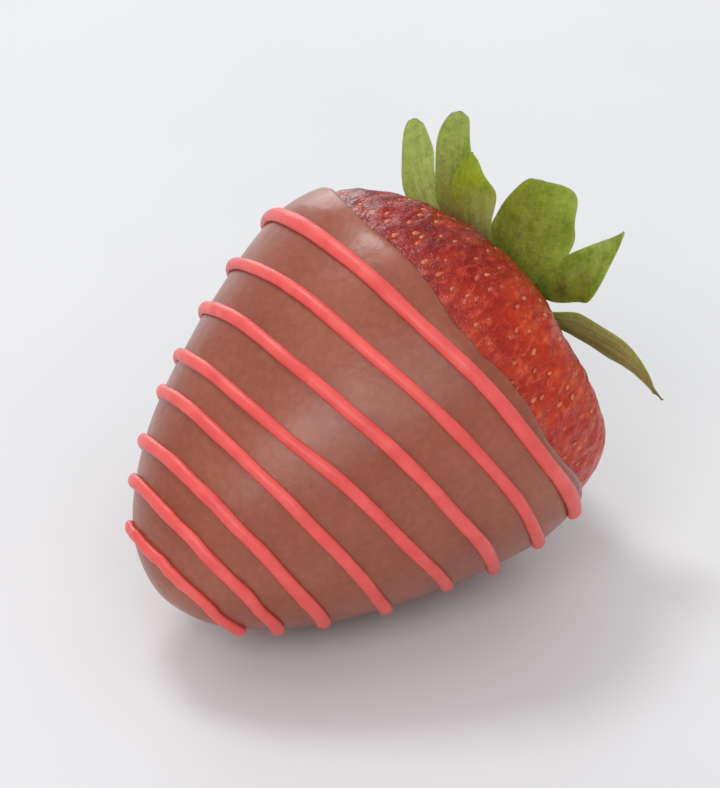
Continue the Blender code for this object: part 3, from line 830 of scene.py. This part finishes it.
def make_leaves(material):
    """All the leaves in one mesh, their roots at two heights on the hub by turns."""
    points, faces, tags = [], [], {}
    count = 0
    for number, leaf in enumerate(LEAVES):
        height = HUB_THICK * WHORL_HEIGHTS[(number + 1) % 2]
        place, along, span = leaf_rings(leaf, height, number * 1.7)
        mesh = loft("leaf", place, place[0].mean(0), place[-1].mean(0))
        points.append(np.array([vertex.co for vertex in mesh.vertices]))
        faces += [tuple(count + corner for corner in face.vertices) for face in mesh.polygons]
        count += len(mesh.vertices)
        bpy.data.meshes.remove(mesh)
        for key, values in leaf_tags(number, leaf, along, span).items():
            flat = values.ravel()
            tags.setdefault(key, []).append(np.concatenate([flat, flat[[0, -1]]]))
    mesh = bpy.data.meshes.new("leafy_crown")
    mesh.from_pydata(np.concatenate(points), [], faces)
    mesh.shade_smooth()
    for key, values in tags.items():
        store(mesh, key, np.concatenate(values))
    return add_piece("leafy_crown", mesh, material, "leaf", "calyx")


STEM_TOP = HUB_THICK + STEM_LENGTH
HUB_PROFILE = (  # radius and height, from the berry outwards
    (HUB_RADIUS * 0.97, 0.0),
    (HUB_RADIUS, 0.0005),
    (HUB_RADIUS * 0.9, 0.0011),
    (HUB_RADIUS * 0.62, HUB_THICK),
    (STEM_RADIUS * 1.45, HUB_THICK + 0.00025),
    (STEM_RADIUS * 1.05, HUB_THICK + 0.0008),
    (STEM_RADIUS * 0.92, HUB_THICK + 0.0018),
    (STEM_RADIUS * 0.95, STEM_TOP - 0.0003),
    (STEM_RADIUS * 0.9, STEM_TOP - 0.0001),
    (STEM_RADIUS * 0.8, STEM_TOP),
    (STEM_RADIUS * 0.45, STEM_TOP - 0.00012),
)
HUB_AROUND = 40
HUB_RIBS = (5, 0.04, 900)  # how many, their share of the radius, and how fast they wind up the stem
HUB_BULGES = (3, 0.03)
CUT_DEPTH = 0.0002  # of the hollow in the cut end of the stem


def make_stem(material):
    """The round green hub that the leaves grow from, and the cut stem on it."""
    turn = np.linspace(0, 2 * math.pi, HUB_AROUND, endpoint=False)
    radial = crown_outwards(turn)
    middle = crown_middle()
    rings = []
    for radius, height in HUB_PROFILE:
        uneven = 1 + HUB_RIBS[1] * np.sin(turn * HUB_RIBS[0] + height * HUB_RIBS[2])
        uneven = uneven + HUB_BULGES[1] * np.sin(turn * HUB_BULGES[0])
        rings.append(middle + CROWN_AXIS * height + radial * (radius * uneven)[:, None])
    mesh = loft("crown_hub", rings, middle, middle + CROWN_AXIS * (STEM_TOP - CUT_DEPTH))
    for key, value in (("along", 0.3), ("span", 0.5), ("pale", 0.6), ("yellow", 0.0), ("rust", 0.0)):
        store(mesh, key, np.full(len(mesh.vertices), value))
    return add_piece("crown_hub", mesh, material, "leaf")


# ---------------------------------------------------------------- stage, lights and camera
VIEW_AZIMUTH = math.radians(-40.9)
VIEW_ELEVATION = math.radians(33)
VIEW_DISTANCE = 0.75
VIEW_HEIGHT = 0.082  # of the picture, in metres at the berry
SENSOR = 36.0
FLOOR_HALF = 3.0
LIGHTS_MIDDLE = Vector((0, 0, 0.02))
ROOM_LIGHT = ((0.95, 0.97, 1.0, 1), 0.59)  # its colour and strength
Lamp = namedtuple("Lamp", "name direction distance size power")
LAMPS = (
    Lamp("back", (-0.01, 0.42, 0.90), 1.0, 0.32, 3.0),
    Lamp("left", (-0.68, -0.33, 0.65), 1.1, 0.46, 2.1),
    Lamp("front", (-0.43, -0.70, 0.60), 1.2, 0.7, 2.3),
    Lamp("behind", (0.45, 0.85, 0.26), 1.1, 0.6, 2.2),
    Lamp("top", (-0.20, 0.20, 0.96), 1.2, 1.2, 0.5),
)


def make_stage():
    corners = [(x * FLOOR_HALF, y * FLOOR_HALF, 0) for x, y in ((-1, -1), (1, -1), (1, 1), (-1, 1))]
    mesh = bpy.data.meshes.new("floor")
    mesh.from_pydata(corners, [], [(0, 1, 2, 3)])
    mesh.materials.append(floor_material())
    floor = bpy.data.objects.new("floor", mesh)
    bpy.context.scene.collection.objects.link(floor)


def add_lamp(lamp):
    """A round soft light that shines on the berry from a direction."""
    light = bpy.data.lights.new(lamp.name, "AREA")
    light.shape = "DISK"
    light.size = lamp.size
    light.energy = lamp.power
    made = bpy.data.objects.new(lamp.name, light)
    towards = Vector(lamp.direction).normalized()
    made.location = LIGHTS_MIDDLE + towards * lamp.distance
    made.rotation_euler = towards.to_track_quat("Z", "Y").to_euler()
    bpy.context.scene.collection.objects.link(made)


def make_lights():
    world = bpy.data.worlds.new("soft_room")
    world.use_nodes = True
    background = world.node_tree.nodes["Background"]
    background.inputs["Color"].default_value, background.inputs["Strength"].default_value = ROOM_LIGHT
    bpy.context.scene.world = world
    for lamp in LAMPS:
        add_lamp(lamp)


def make_camera():
    camera = bpy.data.cameras.new("camera")
    camera.lens = SENSOR * VIEW_DISTANCE / VIEW_HEIGHT
    camera.sensor_width = SENSOR
    camera.clip_start = 0.01
    eye = bpy.data.objects.new("camera", camera)
    target = (Vector(CAD_BOX[0]) + Vector(CAD_BOX[1])) / 2
    flat = math.cos(VIEW_ELEVATION)
    away = Vector((math.sin(VIEW_AZIMUTH) * flat, -math.cos(VIEW_AZIMUTH) * flat, math.sin(VIEW_ELEVATION)))
    eye.location = target + away * VIEW_DISTANCE
    eye.rotation_euler = away.to_track_quat("Z", "Y").to_euler()
    bpy.context.scene.collection.objects.link(eye)
    bpy.context.scene.camera = eye
    bpy.context.scene.view_settings.view_transform = "Standard"


def main():
    polar, angle = seed_places()
    centres, normals, lengths = seed_frames(polar, angle)
    make_skin(centres, lengths)
    make_seeds(centres, normals, lengths)
    make_coat()
    icing = icing_material()
    for number, lay in enumerate(DRIZZLE_PASSES, 1):
        make_bead(number, lay, icing)
    green = leaf_material()
    make_leaves(green)
    make_stem(green)
    make_stage()
    make_lights()
    make_camera()


main()
